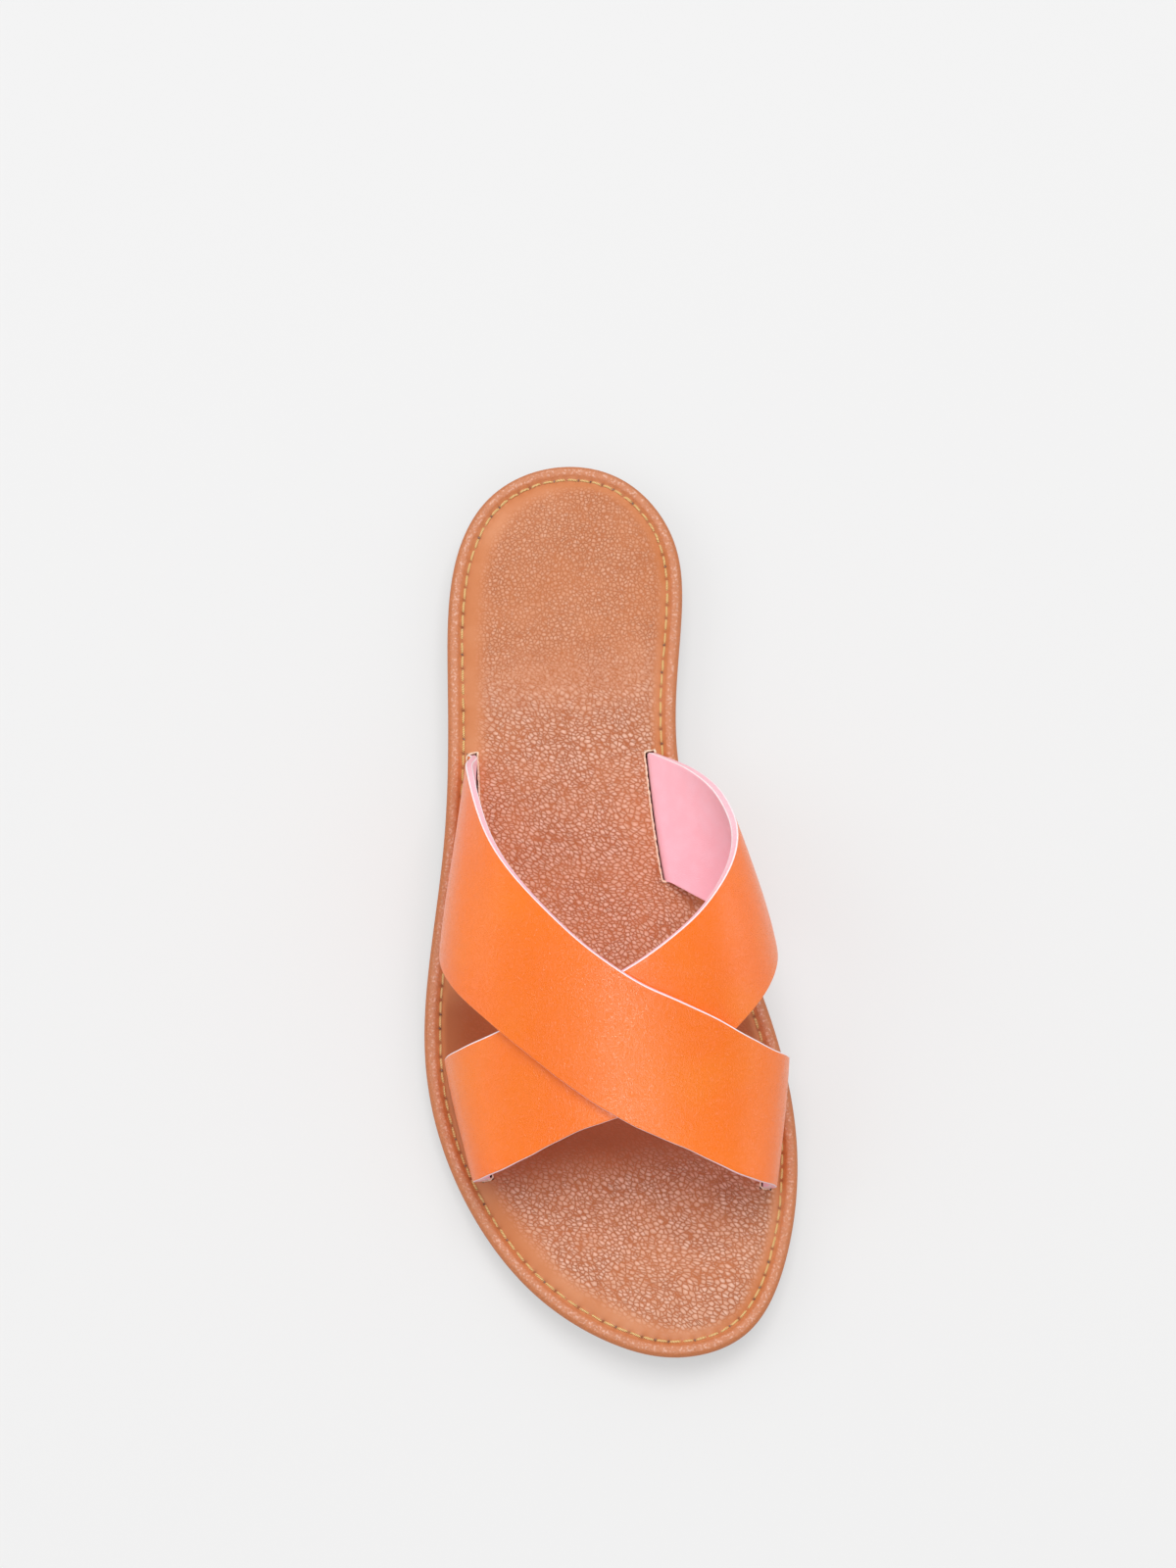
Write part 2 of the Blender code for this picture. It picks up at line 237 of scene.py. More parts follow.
class Value:  # a socket that takes + - * and makes Math nodes
    def __init__(self, finish, socket):
        self.finish, self.socket = finish, socket

    def math(self, operation, first, second=None):
        return self.finish.node("ShaderNodeMath", dict(operation=operation), {0: first, 1: second})

    def __add__(self, other):
        return self.math("ADD", self, other)

    def __radd__(self, other):
        return self.math("ADD", other, self)

    def __sub__(self, other):
        return self.math("SUBTRACT", self, other)

    def __rsub__(self, other):
        return self.math("SUBTRACT", other, self)

    def __mul__(self, other):
        return self.math("MULTIPLY", self, other)

    def __rmul__(self, other):
        return self.math("MULTIPLY", other, self)

    def step(self, low, high):
        # 0 below low, 1 above high, smooth between
        return self.finish.node(
            "ShaderNodeMapRange", dict(interpolation_type="SMOOTHSTEP"),
            {"Value": self, "From Min": low, "From Max": high})


class Finish:  # one material and its nodes
    def __init__(self, name, **constants):
        self.material = bpy.data.materials.new(name)
        self.material.use_nodes = True
        self.tree = self.material.node_tree
        self.shader = self.tree.nodes["Principled BSDF"]
        self.place = self.node("ShaderNodeTexCoord", {}, {}, out="Object")
        for socket, value in constants.items():
            self.shader.inputs[socket.replace("_", " ")].default_value = value

    def node(self, kind, settings, inputs, out=0):
        made = self.tree.nodes.new(kind)
        for key, value in settings.items():
            setattr(made, key, value)
        for key, value in inputs.items():
            if isinstance(value, Value):
                self.tree.links.new(value.socket, made.inputs[key])
            elif value is not None:
                made.inputs[key].default_value = value
        return Value(self, made.outputs[out])

    def attribute(self, name):
        return self.node("ShaderNodeAttribute", dict(attribute_name=name), {}, out="Fac")

    def noise(self, scale, detail=2.0, at=None, out=0):
        return self.node("ShaderNodeTexNoise", {}, {
            "Vector": at or self.place, "Scale": scale, "Detail": detail}, out=out)

    def cells(self, scale, feature="F1", at=None, out=0):
        return self.node("ShaderNodeTexVoronoi", dict(feature=feature), {
            "Vector": at or self.place, "Scale": scale}, out=out)

    def vector(self, operation, inputs):
        return self.node("ShaderNodeVectorMath", dict(operation=operation), inputs)

    def wobbled(self, scale, amount, at=None):
        # the place moved about by a noise, to break up straight cells
        at = at or self.place
        swirl = self.noise(scale, at=at, out="Color")
        centred = self.vector("SUBTRACT", {0: swirl, 1: (0.5, 0.5, 0.5)})
        moved = self.vector("SCALE", {0: centred, "Scale": amount})
        return self.vector("ADD", {0: at, 1: moved})

    def mix(self, share, first, second):
        first, second = ((*c, 1) if isinstance(c, tuple) else c for c in (first, second))
        return self.node("ShaderNodeMix", dict(data_type="RGBA"), {0: share, 6: first, 7: second}, out=2)

    def paint(self, socket, value):
        self.tree.links.new(value.socket, self.shader.inputs[socket])

    def relief(self, height, distance):
        self.paint("Normal", self.node("ShaderNodeBump", {}, {"Height": height, "Distance": distance}))


def makeTanLeather():
    look = dict(
        valley=(0.46, 0.140, 0.053), body=(0.80, 0.465, 0.335), heelBody=(0.72, 0.350, 0.212),
        # glint: colour of the painted highlights on the cells' tops and along the rim's crest
        glint=(0.98, 0.68, 0.56), band=(0.61, 0.210, 0.078), warm=(0.67, 0.265, 0.122),
        rim=(0.57, 0.185, 0.066), paintedShade=(0.40, 0.098, 0.026), hole=(0.13, 0.042, 0.017),
        # cells to the metre, turn and stretch of the slanted grain, height of the relief
        heelPebble=980, pebble=900, wrinkle=2100, slant=-0.60, stretch=(1.35, 0.85, 1.0), depth=0.00022,
        # from and to: along the sole for the heel, in from the footbed's edge for the rim
        heelZone=(0.048, 0.078), rimEnd=(0.0028, 0.0040),
        crestRise=(0.0006, 0.0015), crestFall=(0.0023, 0.0033),
        glintShare=0.40, paintedShadeShare=0.8, roughness=0.49,
    )
    f = Finish("tanGrainLeather", Specular_IOR_Level=0.28)

    def pebbles(at, scale):
        # raised cells with thin creases between them, and how strongly each one's top gets the painted
        # highlight
        crease = f.cells(scale, "DISTANCE_TO_EDGE", at=at).step(0.01, 0.20)
        dome = 1 - f.cells(scale, at=at).step(0.10, 0.60)
        lot = f.cells(scale, at=at, out="Color").step(0.30, 0.80)
        return crease * (0.7 + dome * 0.3), dome * lot

    # long slanted grain at the waist and the toe, rounder and softer at the heel
    swept = f.node("ShaderNodeMapping", dict(vector_type="TEXTURE"), {
        "Vector": f.wobbled(34, 0.006), "Rotation": (0, 0, look["slant"]), "Scale": look["stretch"]})
    frontRise, frontGlint = pebbles(f.wobbled(700, 0.0005, at=swept), look["pebble"])
    heelRise, heelGlint = pebbles(f.wobbled(600, 0.0009), look["heelPebble"])
    toHeel = f.node("ShaderNodeSeparateXYZ", {}, {0: f.place}, out="Y").step(*look["heelZone"])
    wrinkles = f.cells(look["wrinkle"], "DISTANCE_TO_EDGE", at=f.wobbled(900, 0.0007)).step(0.0, 0.3)
    rise = (frontRise + (heelRise - frontRise) * toHeel) * (0.8 + wrinkles * 0.2)
    glint = frontGlint + (heelGlint * 0.7 - frontGlint) * toHeel
    inset, grain = f.attribute("inset"), f.attribute("grainShare")
    onRim = 1 - inset.step(*look["rimEnd"])
    crest = inset.step(*look["crestRise"]) * (1 - inset.step(*look["crestFall"]))
    strength = grain * (1 - toHeel * 0.25) * (0.75 + f.noise(85, 2.0).step(0.36, 0.64) * 0.25)
    flat = f.mix(f.noise(60, 3.0).step(0.35, 0.7), look["band"], look["warm"])
    flat = f.mix(onRim, flat, look["rim"])
    # painted highlight along the rim's crest, with pale specks in it
    flat = f.mix(crest * (0.12 + f.noise(1500, 2.0).step(0.50, 0.68) * 0.36), flat, look["glint"])
    top = f.mix(toHeel, look["body"], look["heelBody"])
    # painted highlight: the cells' tops lightened towards the glint colour
    grained = f.mix(glint * look["glintShare"], f.mix(rise, look["valley"], top), look["glint"])
    colour = f.mix(strength, flat, grained)
    # painted shade: the leather darker under the straps, where they shade it
    colour = f.mix(f.attribute("strapShade") * look["paintedShadeShare"], colour, look["paintedShade"])
    # painted shade in the needle holes along the stitch groove
    f.paint("Base Color", f.mix(f.attribute("stitchHole"), colour, look["hole"]))
    f.paint("Roughness", look["roughness"] - rise * strength * 0.10 - glint * 0.08)
    f.relief(rise * (strength + onRim * 0.5 + 0.04) + f.noise(2600, 2.0) * 0.05, look["depth"])
    return f.material


def makeOrangeLeather():
    look = dict(
        base=(0.965, 0.192, 0.006), golden=(0.970, 0.222, 0.008), red=(0.96, 0.174, 0.005),
        fineGrain=2300, roughness=0.28, depth=0.00005)
    f = Finish("orangeLeather", Specular_IOR_Level=0.44, Sheen_Weight=0.12, Sheen_Roughness=0.35)
    f.shader.inputs["Sheen Tint"].default_value = (1.0, 0.86, 0.82, 1)
    fine = f.cells(look["fineGrain"], "DISTANCE_TO_EDGE", at=f.wobbled(1500, 0.0005)).step(0.0, 0.3)
    cloud = f.noise(26, 2.0)
    colour = f.mix(cloud.step(0.35, 0.7), look["red"], look["base"])
    colour = f.mix(f.noise(41, 1.0).step(0.5, 0.8) * 0.6, colour, look["golden"])
    f.paint("Base Color", colour)
    f.paint("Roughness", look["roughness"] - fine * 0.04 + f.noise(320, 2.0) * 0.06)
    f.relief(fine * 0.8 + f.noise(900, 3.0) * 0.5, look["depth"])
    return f.material


def makePinkSuede():
    look = dict(deep=(1.0, 0.530, 0.620), pale=(1.0, 0.575, 0.670), nap=3200, roughness=0.84, depth=0.00010)
    # the suede glows faintly: painted light that lifts its shaded inner face
    f = Finish(
        "pinkSuede", Specular_IOR_Level=0.25, Sheen_Weight=0.55, Sheen_Roughness=0.5,
        Emission_Color=(1.0, 0.50, 0.58, 1), Emission_Strength=0.07)
    f.shader.inputs["Sheen Tint"].default_value = (1.0, 0.80, 0.84, 1)
    nap = f.noise(look["nap"], 3.0)
    cloud = f.noise(210, 3.0)
    f.paint("Base Color", f.mix(cloud.step(0.3, 0.75), look["deep"], look["pale"]))
    f.paint("Roughness", look["roughness"] + nap * 0.12)
    f.relief(nap, look["depth"])
    return f.material


def makeEdge(name, colour, dim):
    f = Finish(name, Specular_IOR_Level=0.4)
    fibre = f.noise(1800, 3.0)
    f.paint("Base Color", f.mix(fibre.step(0.3, 0.7), dim, colour))
    f.paint("Roughness", 0.62 + fibre * 0.2)
    f.relief(fibre, 0.00006)
    return f.material


def makeThread():
    look = dict(
        hollow=(0.40, 0.165, 0.040), ply=(1.0, 0.74, 0.31), fibre=5200, roughness=0.38, depth=0.00005)
    f = Finish("goldThread", Specular_IOR_Level=0.55, Sheen_Weight=0.15)
    fibre = f.noise(look["fibre"], 2.0)
    # painted shade: the hollows between the twisted plies darker than the plies' tops
    onPly = f.attribute("strand").step(0.10, 0.75) * (0.72 + fibre.step(0.35, 0.65) * 0.28)
    f.paint("Base Color", f.mix(onPly, look["hollow"], look["ply"]))
    f.paint("Roughness", look["roughness"] + fibre * 0.18)
    f.relief(fibre, look["depth"])
    return f.material


def makeRubber(name, colour, dim):
    f = Finish(name, Specular_IOR_Level=0.4)
    speckle = f.noise(2400, 3.0)
    f.paint("Base Color", f.mix(f.noise(60, 3.0).step(0.3, 0.7), dim, colour))
    f.paint("Roughness", 0.58 + speckle * 0.2)
    f.relief(speckle, 0.00005)
    return f.material


tanLeather = makeTanLeather()
orangeLeather = makeOrangeLeather()
pinkSuede = makePinkSuede()
edgeWhite = makeEdge("paleCutEdge", (0.93, 0.84, 0.86), (0.88, 0.74, 0.77))
edgePink = makeEdge("pinkCutEdge", (0.95, 0.56, 0.62), (0.90, 0.48, 0.55))
rawCream = makeEdge("creamRawEdge", (0.95, 0.78, 0.62), (0.80, 0.52, 0.35))
goldThread = makeThread()
greyThread = makeEdge("greyBobbinThread", (0.36, 0.33, 0.30), (0.09, 0.07, 0.055))
soleRubber = makeRubber("soleRubber", (0.115, 0.052, 0.026), (0.085, 0.038, 0.020))
print("finishes made")


stitching = dict(
    pitch=0.00378, share=0.82, shareSpread=(-0.05, 0.04), radius=0.00030, radiusSpread=(0.92, 1.06),
    sink=0.00042, lay=0.00020, arch=0.00010, lean=0.00011, twists=3.4, plyDepth=0.20, squash=0.85,
    sides=12, steps=20,
    pathSteps=40, bobbinShare=0.22,  # path points to a stitch, share of holes that show the bobbin thread
)
rim = dict(
    width=0.0042, drop=0.0011, groove=0.0009, padBorder=0.0125, profileSteps=34,
    outlineSteps=400, insetSteps=500, curveSteps=400,
    samples=8, wander=0.00012, waver=0.00006, swell=0.00009, padColumns=12,
    pucker=0.00030, puckerWidth=0.00075, holeWidth=0.00050, holeDark=(0.12, 0.90),
    beside=((0.55, 0.0010), (1.45, 0.0014)),  # puckers beside the groove: share of width, reach
)


def handWobble(s, size, seed):
    # slow wander along the edge, a few waves with fixed phases; s runs 0 to 1 round the sole
    waves = ((7, 0.9), (13, 2.1), (29, 4.0), (53, 1.3))
    total = sum(np.sin(2 * np.pi * k * s + p + seed) / (1 + 0.12 * k) for k, p in waves)
    return size * total


def padSwell(x, y):
    # slow unevenness of the foam under the leather, well under half a millimetre
    return rim["swell"] * (np.sin(61 * x + 2.0) * np.sin(47 * y + 0.6) + np.sin(113 * x - 59 * y) * 0.6)


def stitchCount():
    # an even number of whole stitches round the groove
    ring = outlineRing(rim["outlineSteps"])
    groove = ring + inwardOf(ring) * rim["width"]
    return 2 * int(round(lengths(groove, closed=True)[-1] / stitching["pitch"] / 2))


def rimProfile():
    # drop below the pad against inset from the edge, from the underside up and over
    depth, slope = sandal["footbed"], rim["padBorder"] - rim["width"]
    waist, low = 0.6 * depth, rim["drop"] + rim["groove"]
    table = np.array([
        (0.38 * rim["width"], depth), (0.10 * rim["width"], 0.5 * (depth + waist)), (0.0, waist),
        (0.11 * rim["width"], rim["drop"] + 0.42 * (waist - rim["drop"])),
        (0.30 * rim["width"], rim["drop"] + 0.10 * (waist - rim["drop"])),
        (0.50 * rim["width"], rim["drop"]),
        (0.78 * rim["width"], rim["drop"] + 0.30 * rim["groove"]),
        (rim["width"], low),
        (rim["width"] + 0.12 * slope, 0.80 * low), (rim["width"] + 0.35 * slope, 0.36 * low),
        (rim["width"] + 0.65 * slope, 0.08 * low), (rim["padBorder"], 0.0),
    ])
    run = lengths(table)
    return evenly(spline(run, table)(np.linspace(0, run[-1], rim["curveSteps"])), rim["profileSteps"])


def buildFootbed():
    stitches = stitchCount()
    around = stitches * rim["samples"]
    ring = outlineRing(around // 2)
    inward = inwardOf(ring)
    s = np.arange(around) / around
    phase = (np.arange(around) % rim["samples"]) / rim["samples"]  # 0 at a needle hole
    hole = 0.5 + 0.5 * np.cos(2 * np.pi * phase)
    nearest = np.round(np.arange(around) / rim["samples"]).astype(int) % stitches
    # the needle holes are marked dark as painted shade, some less than others
    dark = np.random.default_rng(3).uniform(*rim["holeDark"], stitches)[nearest]
    rings, marks = [], []
    for inset, drop in rimProfile():
        fold, mark = 0.0, 0.0
        if drop < 0.62 * sandal["footbed"]:  # the upper part, which the stitching puckers
            near = bump(inset, rim["width"], rim["puckerWidth"])
            outer, inner = (bump(inset, at * rim["width"], wide) for at, wide in rim["beside"])
            beside = outer + 0.6 * inner
            fold = rim["pucker"] * (near * (hole - 0.35) * 1.1 + beside * (hole ** 2 - 0.4) * 0.35)
            mark = bump(inset, rim["width"], rim["holeWidth"])
        fade = smooth(inset / 0.002) * smooth((rim["padBorder"] - inset) / 0.003)
        out = ring + inward * (inset + handWobble(s, rim["wander"], 0.0) * fade)[:, None]
        swell = padSwell(out[:, 0], out[:, 1]) * smooth((inset - 0.004) / 0.008)
        z = bedTopZ(out[:, 1]) - drop - fold + (handWobble(s, rim["waver"], 1.7) * fade + swell)
        rings.append(np.column_stack([out, z]))
        marks.append(mark * hole ** 5 * dark)
    verts = np.concatenate(rings)
    half = around // 2
    pad, padFaces = spanRing(
        len(verts) - around, rings[-1], rim["padColumns"],
        lambda x, y: bedTopZ(y) + padSwell(x, y), len(verts))
    holes = np.concatenate(marks + [np.zeros(len(pad))])
    verts = np.vstack([verts, pad])
    under = [[i, i + 1, around - i - 1, around - i] for i in range(1, half - 1)]
    caps = under + [[0, 1, around - 1], [half - 1, half, half + 1]]
    allFaces = gridFaces(len(rings), around, closeColumns=True).tolist() + padFaces + caps
    piece = newPiece("footbedCover", verts, allFaces, [tanLeather, rawCream], slot="tan_leather")
    outwards(piece)
    setFloat(piece, "stitchHole", holes)
    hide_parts("footbed")
    return piece


straps = dict(
    thickness=0.0020, crownPower=2.15, liftRamp=0.22, restGap=0.00004, steps=250, rows=40,
    # cross-sections of the form under the bands: share along, then across shares of the ball
    # width for feet and sides, then height shares of the instep for sides and top, top across
    sections=(
        # along, footLat, footMed, sideLat, sideMed, lowLat, lowMed, top, topAcross
        (0.31, -0.266, 0.236, -0.247, 0.312, 0.108, 0.387, 1.027, 0.255),
        (0.45, -0.309, 0.234, -0.336, 0.412, 0.187, 0.480, 1.005, 0.062),
        (0.60, -0.401, 0.289, -0.429, 0.490, 0.145, 0.301, 0.897, 0.100),
        (0.75, -0.381, 0.411, -0.410, 0.453, 0.134, 0.164, 0.604, 0.101),
        (0.90, -0.312, 0.343, -0.356, 0.358, 0.088, 0.092, 0.411, 0.062),
    ),
    # share of the way over from the lateral slot, rear edge, front edge, along the sole
    over=(
        (0.0, 0.321, 0.489), (0.1, 0.347, 0.548), (0.2, 0.383, 0.609), (0.4, 0.571, 0.729),
        (0.6, 0.664, 0.795), (0.8, 0.705, 0.835), (1.0, 0.685, 0.832),
    ),
    under=(
        (0.0, 0.656, 0.786), (0.2, 0.660, 0.793), (0.4, 0.639, 0.769),
        (0.6, 0.571, 0.733), (0.8, 0.429, 0.604), (1.0, 0.342, 0.486),
    ),
    # round a cut edge from the grain side down: metres inside the cut line, share of the half
    # thickness, and what follows: 0 orange face, 1 pale band, 2 pink core, 3 lining
    rearEdge=(
        (0.00055, 1.00, 0), (0.00036, 1.00, 1), (0.00017, 0.97, 1), (0.00006, 0.86, 1),
        (0.00000, 0.66, 2), (0.00006, 0.40, 2), (0.00009, 0.0, 2), (0.00006, -0.40, 2),
        (0.00000, -0.62, 1), (0.00005, -0.80, 1), (0.00016, -0.96, 3), (0.00040, -1.00, 3),
    ),
    frontEdge=(
        (0.00055, 1.00, 0), (0.00024, 0.985, 0), (0.00014, 0.93, 1), (0.00003, 0.80, 1),
        (0.00000, 0.64, 2), (0.00006, 0.40, 2), (0.00009, 0.0, 2), (0.00006, -0.40, 2),
        (0.00000, -0.62, 1), (0.00005, -0.80, 1), (0.00016, -0.96, 3), (0.00040, -1.00, 3),
    ),
    # room in the slots beside and past the band, how ragged the cut is, reach of the cutting blade
    slotInner=0.00075, slotOuter=0.00030, slotRear=0.0009, slotFront=0.0002, slotSteps=60,
    ragged=0.00005, bladeReach=0.003,
    waver=(0.00010, 0.00005),  # slow and quick waver of the cut lines
    tailRows=6, tailGap=0.0001, sideSteps=14, crownSteps=40,
    # soft hollows and ridges: share along, share across, reach across, reach along, height
    overTroughs=(
        (0.27, 0.35, 0.45, 0.030, -0.00030), (0.70, 0.70, 0.45, 0.040, 0.00025),
        (0.83, 0.25, 0.40, 0.028, -0.00025),
    ),
    underTroughs=((0.24, 0.55, 0.50, 0.035, -0.00025), (0.76, 0.45, 0.50, 0.032, -0.00030)),
)


def formPoint(share, y):
    # point of the form that the bands follow: share of the way over, at a place y along
    table = np.array(straps["sections"])
    row = spline(table[:, 0], table[:, 1:])(0.5 - y / sandal["soleLength"])
    footLat, footMed, sideLat, sideMed = (row[:, k:k + 1] * sandal["ballWidth"] for k in range(4))
    lowLat, lowMed, top = (row[:, k:k + 1] * sandal["instepHeight"] for k in (4, 5, 6))
    topX = row[:, 7:8] * sandal["ballWidth"]
    climb = np.linspace(0, 1, straps["sideSteps"])
    turn = np.linspace(0, 0.5 * np.pi, straps["crownSteps"])[1:]
    out, up = np.cos(turn) ** (2 / straps["crownPower"]), np.sin(turn) ** (2 / straps["crownPower"])
    x = np.hstack([
        sideLat - (sideLat - footLat) * (1 - climb) ** 2, topX - (topX - sideLat) * out,
        (topX + (sideMed - topX) * out)[:, -2::-1],
        (sideMed - (sideMed - footMed) * (1 - climb) ** 2)[:, ::-1],
    ])
    z = np.hstack([
        lowLat * climb, lowLat + (top - lowLat) * up,
        (lowMed + (top - lowMed) * up)[:, -2::-1], (lowMed * climb)[:, ::-1],
    ])
    run = np.cumsum(np.hypot(np.diff(x), np.diff(z)), axis=1)
    run = np.hstack([np.zeros((len(run), 1)), run]) / run[:, -1:]
    px = np.array([np.interp(a, b, c) for a, b, c in zip(share, run, x)])
    pz = np.array([np.interp(a, b, c) for a, b, c in zip(share, run, z)])
    return np.column_stack([px, y, pz + bedTopZ(y) + sandal["strapRise"]])


def bandSurface(table, lift):
    # middle surface of a band as a grid, and the spline of its two cut lines
    rows = np.array(table)
    edges = spline(rows[:, 0], rows[:, 1:])
    steps, across = straps["steps"], straps["rows"]
    share = np.linspace(0, 1, steps + 1)
    ends = toY(edges(share))
    slow, quick = np.sin(share[:, None] * (23, 29) + (0.4, 2.0)), np.sin(share[:, None] * (71, 83))
    waver = straps["waver"][0] * slow + straps["waver"][1] * quick
    ends = ends + waver * smooth(np.minimum(share, 1 - share) / 0.1)[:, None]
    t = np.linspace(0, 1, across + 1)
    y = ends[:, :1] * (1 - t) + ends[:, 1:] * t
    s = np.repeat(share[:, None], across + 1, axis=1)
    grid = formPoint(s.ravel(), y.ravel()).reshape(steps + 1, across + 1, 3)
    # blend out the corner points of the section polyline
    for _ in range(3):
        grid[1:-1] = 0.25 * grid[:-2] + 0.5 * grid[1:-1] + 0.25 * grid[2:]
    normal = gridNormals(grid)
    ramp = smooth(np.minimum(s, 1 - s) / straps["liftRamp"])
    grid = grid + normal * (lift * ramp)[..., None]
    return grid, edges


def gridNormals(grid):
    # unit normals that point away from the foot
    along = np.gradient(grid, axis=0)
    across = np.gradient(grid, axis=1)
    normal = unit(np.cross(along, across))
    if normal[len(grid) // 2, grid.shape[1] // 2, 2] < 0:
        normal = -normal
    return normal


def withTails(grid):
    # straight ends that go down through the slots, with a rounded bend
    rows, tails = straps["tailRows"], []
    for end in (grid[0], grid[-1]):
        deep = bedBottomZ(end[:, 1]) + straps["tailGap"]
        lines = []
        for k in np.linspace(0, 1, rows + 1)[:-1]:
            line = end.copy()
            line[:, 2] = deep * (1 - k) + end[:, 2] * k
            lines.append(line)
        tails.append(np.array(lines))
    whole = np.concatenate([tails[0], grid, tails[1][::-1]])
    bend = list(range(rows - 2, rows + 6))  # the rows that round the bend, counted from either end
    for _ in range(2):
        for k in bend + [len(whole) - 1 - k for k in bend[::-1]]:
            whole[k] = 0.25 * whole[k - 1] + 0.5 * whole[k] + 0.25 * whole[k + 1]
    return whole


def buildBand(name, table, lift, troughs):
    grid, edges = bandSurface(table, lift)
    grid = withTails(grid)
    normal = gridNormals(grid)
    along, over = (np.linspace(0, 1, count) for count in grid.shape[:2])
    for u, v, reachAcross, reachAlong, height in troughs:
        hill = height * bump(along[:, None], u, reachAlong) * bump(over[None, :], v, reachAcross)
        grid = grid + normal * hill[..., None]
    half = 0.5 * straps["thickness"]
    across = unit(np.gradient(grid, axis=1))
    # a closed loop round the band at each step: top, front edge, lining, rear edge
    loops, kinds = [], []
    columns = range(1, grid.shape[1] - 1)
    for j in columns:
        loops.append(grid[:, j] + normal[:, j] * half)
        kinds.append(0)
    for inside, height, kind in straps["frontEdge"]:
        loops.append(grid[:, -1] - across[:, -1] * inside + normal[:, -1] * half * height)
        kinds.append(kind)
    for j in reversed(columns):
        loops.append(grid[:, j] - normal[:, j] * half)
        kinds.append(3)
    rear = straps["rearEdge"]
    for k in range(len(rear) - 1, -1, -1):
        inside, height, _ = rear[k]
        loops.append(grid[:, 0] + across[:, 0] * inside + normal[:, 0] * half * height)
        kinds.append(rear[k - 1][2] if k else 0)
    loops = np.array(loops).transpose(1, 0, 2)
    rows, turns = loops.shape[:2]
    faces = gridFaces(rows, turns, closeColumns=True).tolist()
    caps = [list(range(turns))[::-1], [(rows - 1) * turns + i for i in range(turns)]]
    piece = newPiece(
        name, loops.reshape(-1, 3), faces + caps, [orangeLeather, edgeWhite, edgePink, pinkSuede],
        faceMaterial=kinds * (rows - 1) + [2, 2], sharp=1.2, slot="orange_leather")
    outwards(piece)
    return piece, edges


def slotSides(edges, side):
    # the two long sides of a slot, a little ragged like a knife cut
    rear, front = toY(edges(side)[0])
    y = np.linspace(rear + straps["slotRear"], front - straps["slotFront"], straps["slotSteps"])
    foot = formPoint(np.full(len(y), float(side)), y)
    run = unit(np.gradient(foot[:, :2], axis=0))
    out = np.column_stack([run[:, 1], -run[:, 0]])  # towards the lateral side
    half = 0.5 * straps["thickness"]
    wide = (half + straps["slotInner"], half + straps["slotOuter"])
    if side:
        wide = wide[::-1]
    ragged = straps["ragged"] * (np.sin(y * 5100) + np.sin(y * 8300 + 1.0) + np.sin(y * 12700 + side))
    left = foot[:, :2] - out * (wide[0] + ragged)[:, None]
    right = foot[:, :2] + out * (wide[1] + np.roll(ragged, 7))[:, None]
    return left, right


def slotBlade(edges, side):
    # block that cuts one slot through the footbed
    left, right = slotSides(edges, side)
    low = bedBottomZ(left[:, 1]) - straps["bladeReach"]
    high = bedTopZ(left[:, 1]) + straps["bladeReach"]
    corners = ((left, low), (left, high), (right, high), (right, low))
    loops = np.stack([np.column_stack(corner) for corner in corners], axis=1)
    faces = gridFaces(len(left), 4, closeColumns=True).tolist()
    faces += [[3, 2, 1, 0], [4 * len(left) - 4 + i for i in range(4)]]
    return loops.reshape(-1, 3), faces


def cutSlots(footbed, blades):
    cutter = newPiece("slotBlades", *joined(blades), [rawCream])
    outwards(cutter)
    cut = footbed.modifiers.new("slots", "BOOLEAN")
    cut.operation, cut.solver, cut.object = "DIFFERENCE", "EXACT", cutter
    cut.material_mode = "TRANSFER"
    applyModifiers(footbed)
    bpy.data.objects.remove(cutter, do_unlink=True)


def insetOf(place):
    # distance from the footbed's widest edge; each step of the loop covers two short edges
    ring = outlineRing(rim["insetSteps"])
    edge = np.roll(ring, -1, axis=0) - ring
    best = np.full(len(place), 1.0)
    for a, e in zip(ring[::2], edge[::2]):
        t = np.clip(((place - a) @ e) / (e @ e), 0, 2)
        best = np.minimum(best, np.linalg.norm(place - a - t[:, None] * e, axis=1))
    return best


zones = dict(
    # grain: where it starts, how wide it fades in, what comes off both at the medial side, and
    # from where across the sole and over how wide a strip that happens
    grainStart=0.0064, startLess=0.0014, grainFade=0.0058, fadeLess=0.0030,
    acrossFrom=-0.012, across=0.036,
    # part under the straps, with smoother grain and painted shade from the straps: its ends along the sole
    # and their fades, its border
    strapShadeRear=-0.014, rearFade=0.012, strapShadeFront=-0.078, frontFade=0.014, strapShadeStart=0.0045,
    strapShadeFade=0.002, strapShadeLess=0.8,
)


def grainShare(place):
    # the grain is pulled flat along the stitching, over a wider band at the lateral side
    medial = smooth((place[:, 0] - zones["acrossFrom"]) / zones["across"])
    start = zones["grainStart"] - zones["startLess"] * medial
    wide = zones["grainFade"] - zones["fadeLess"] * medial
    return smooth((insetOf(place) - start) / wide) * (1 - zones["strapShadeLess"] * strapShadeShare(place))


def strapShadeShare(place):
    # under the straps the grain is smoother and the leather darker: painted shade from the straps
    rear = smooth((zones["strapShadeRear"] - place[:, 1]) / zones["rearFade"])
    front = smooth((place[:, 1] - zones["strapShadeFront"]) / zones["frontFade"])
    return rear * front * smooth((insetOf(place) - zones["strapShadeStart"]) / zones["strapShadeFade"])


def coverZ(place):
    # height of the footbed cover's top, groove and pad
    profile = rimProfile()
    upper = profile[:, 1] < 0.3 * sandal["footbed"]
    drop = np.interp(insetOf(place), profile[upper, 0], profile[upper, 1])
    return bedTopZ(place[:, 1]) - drop


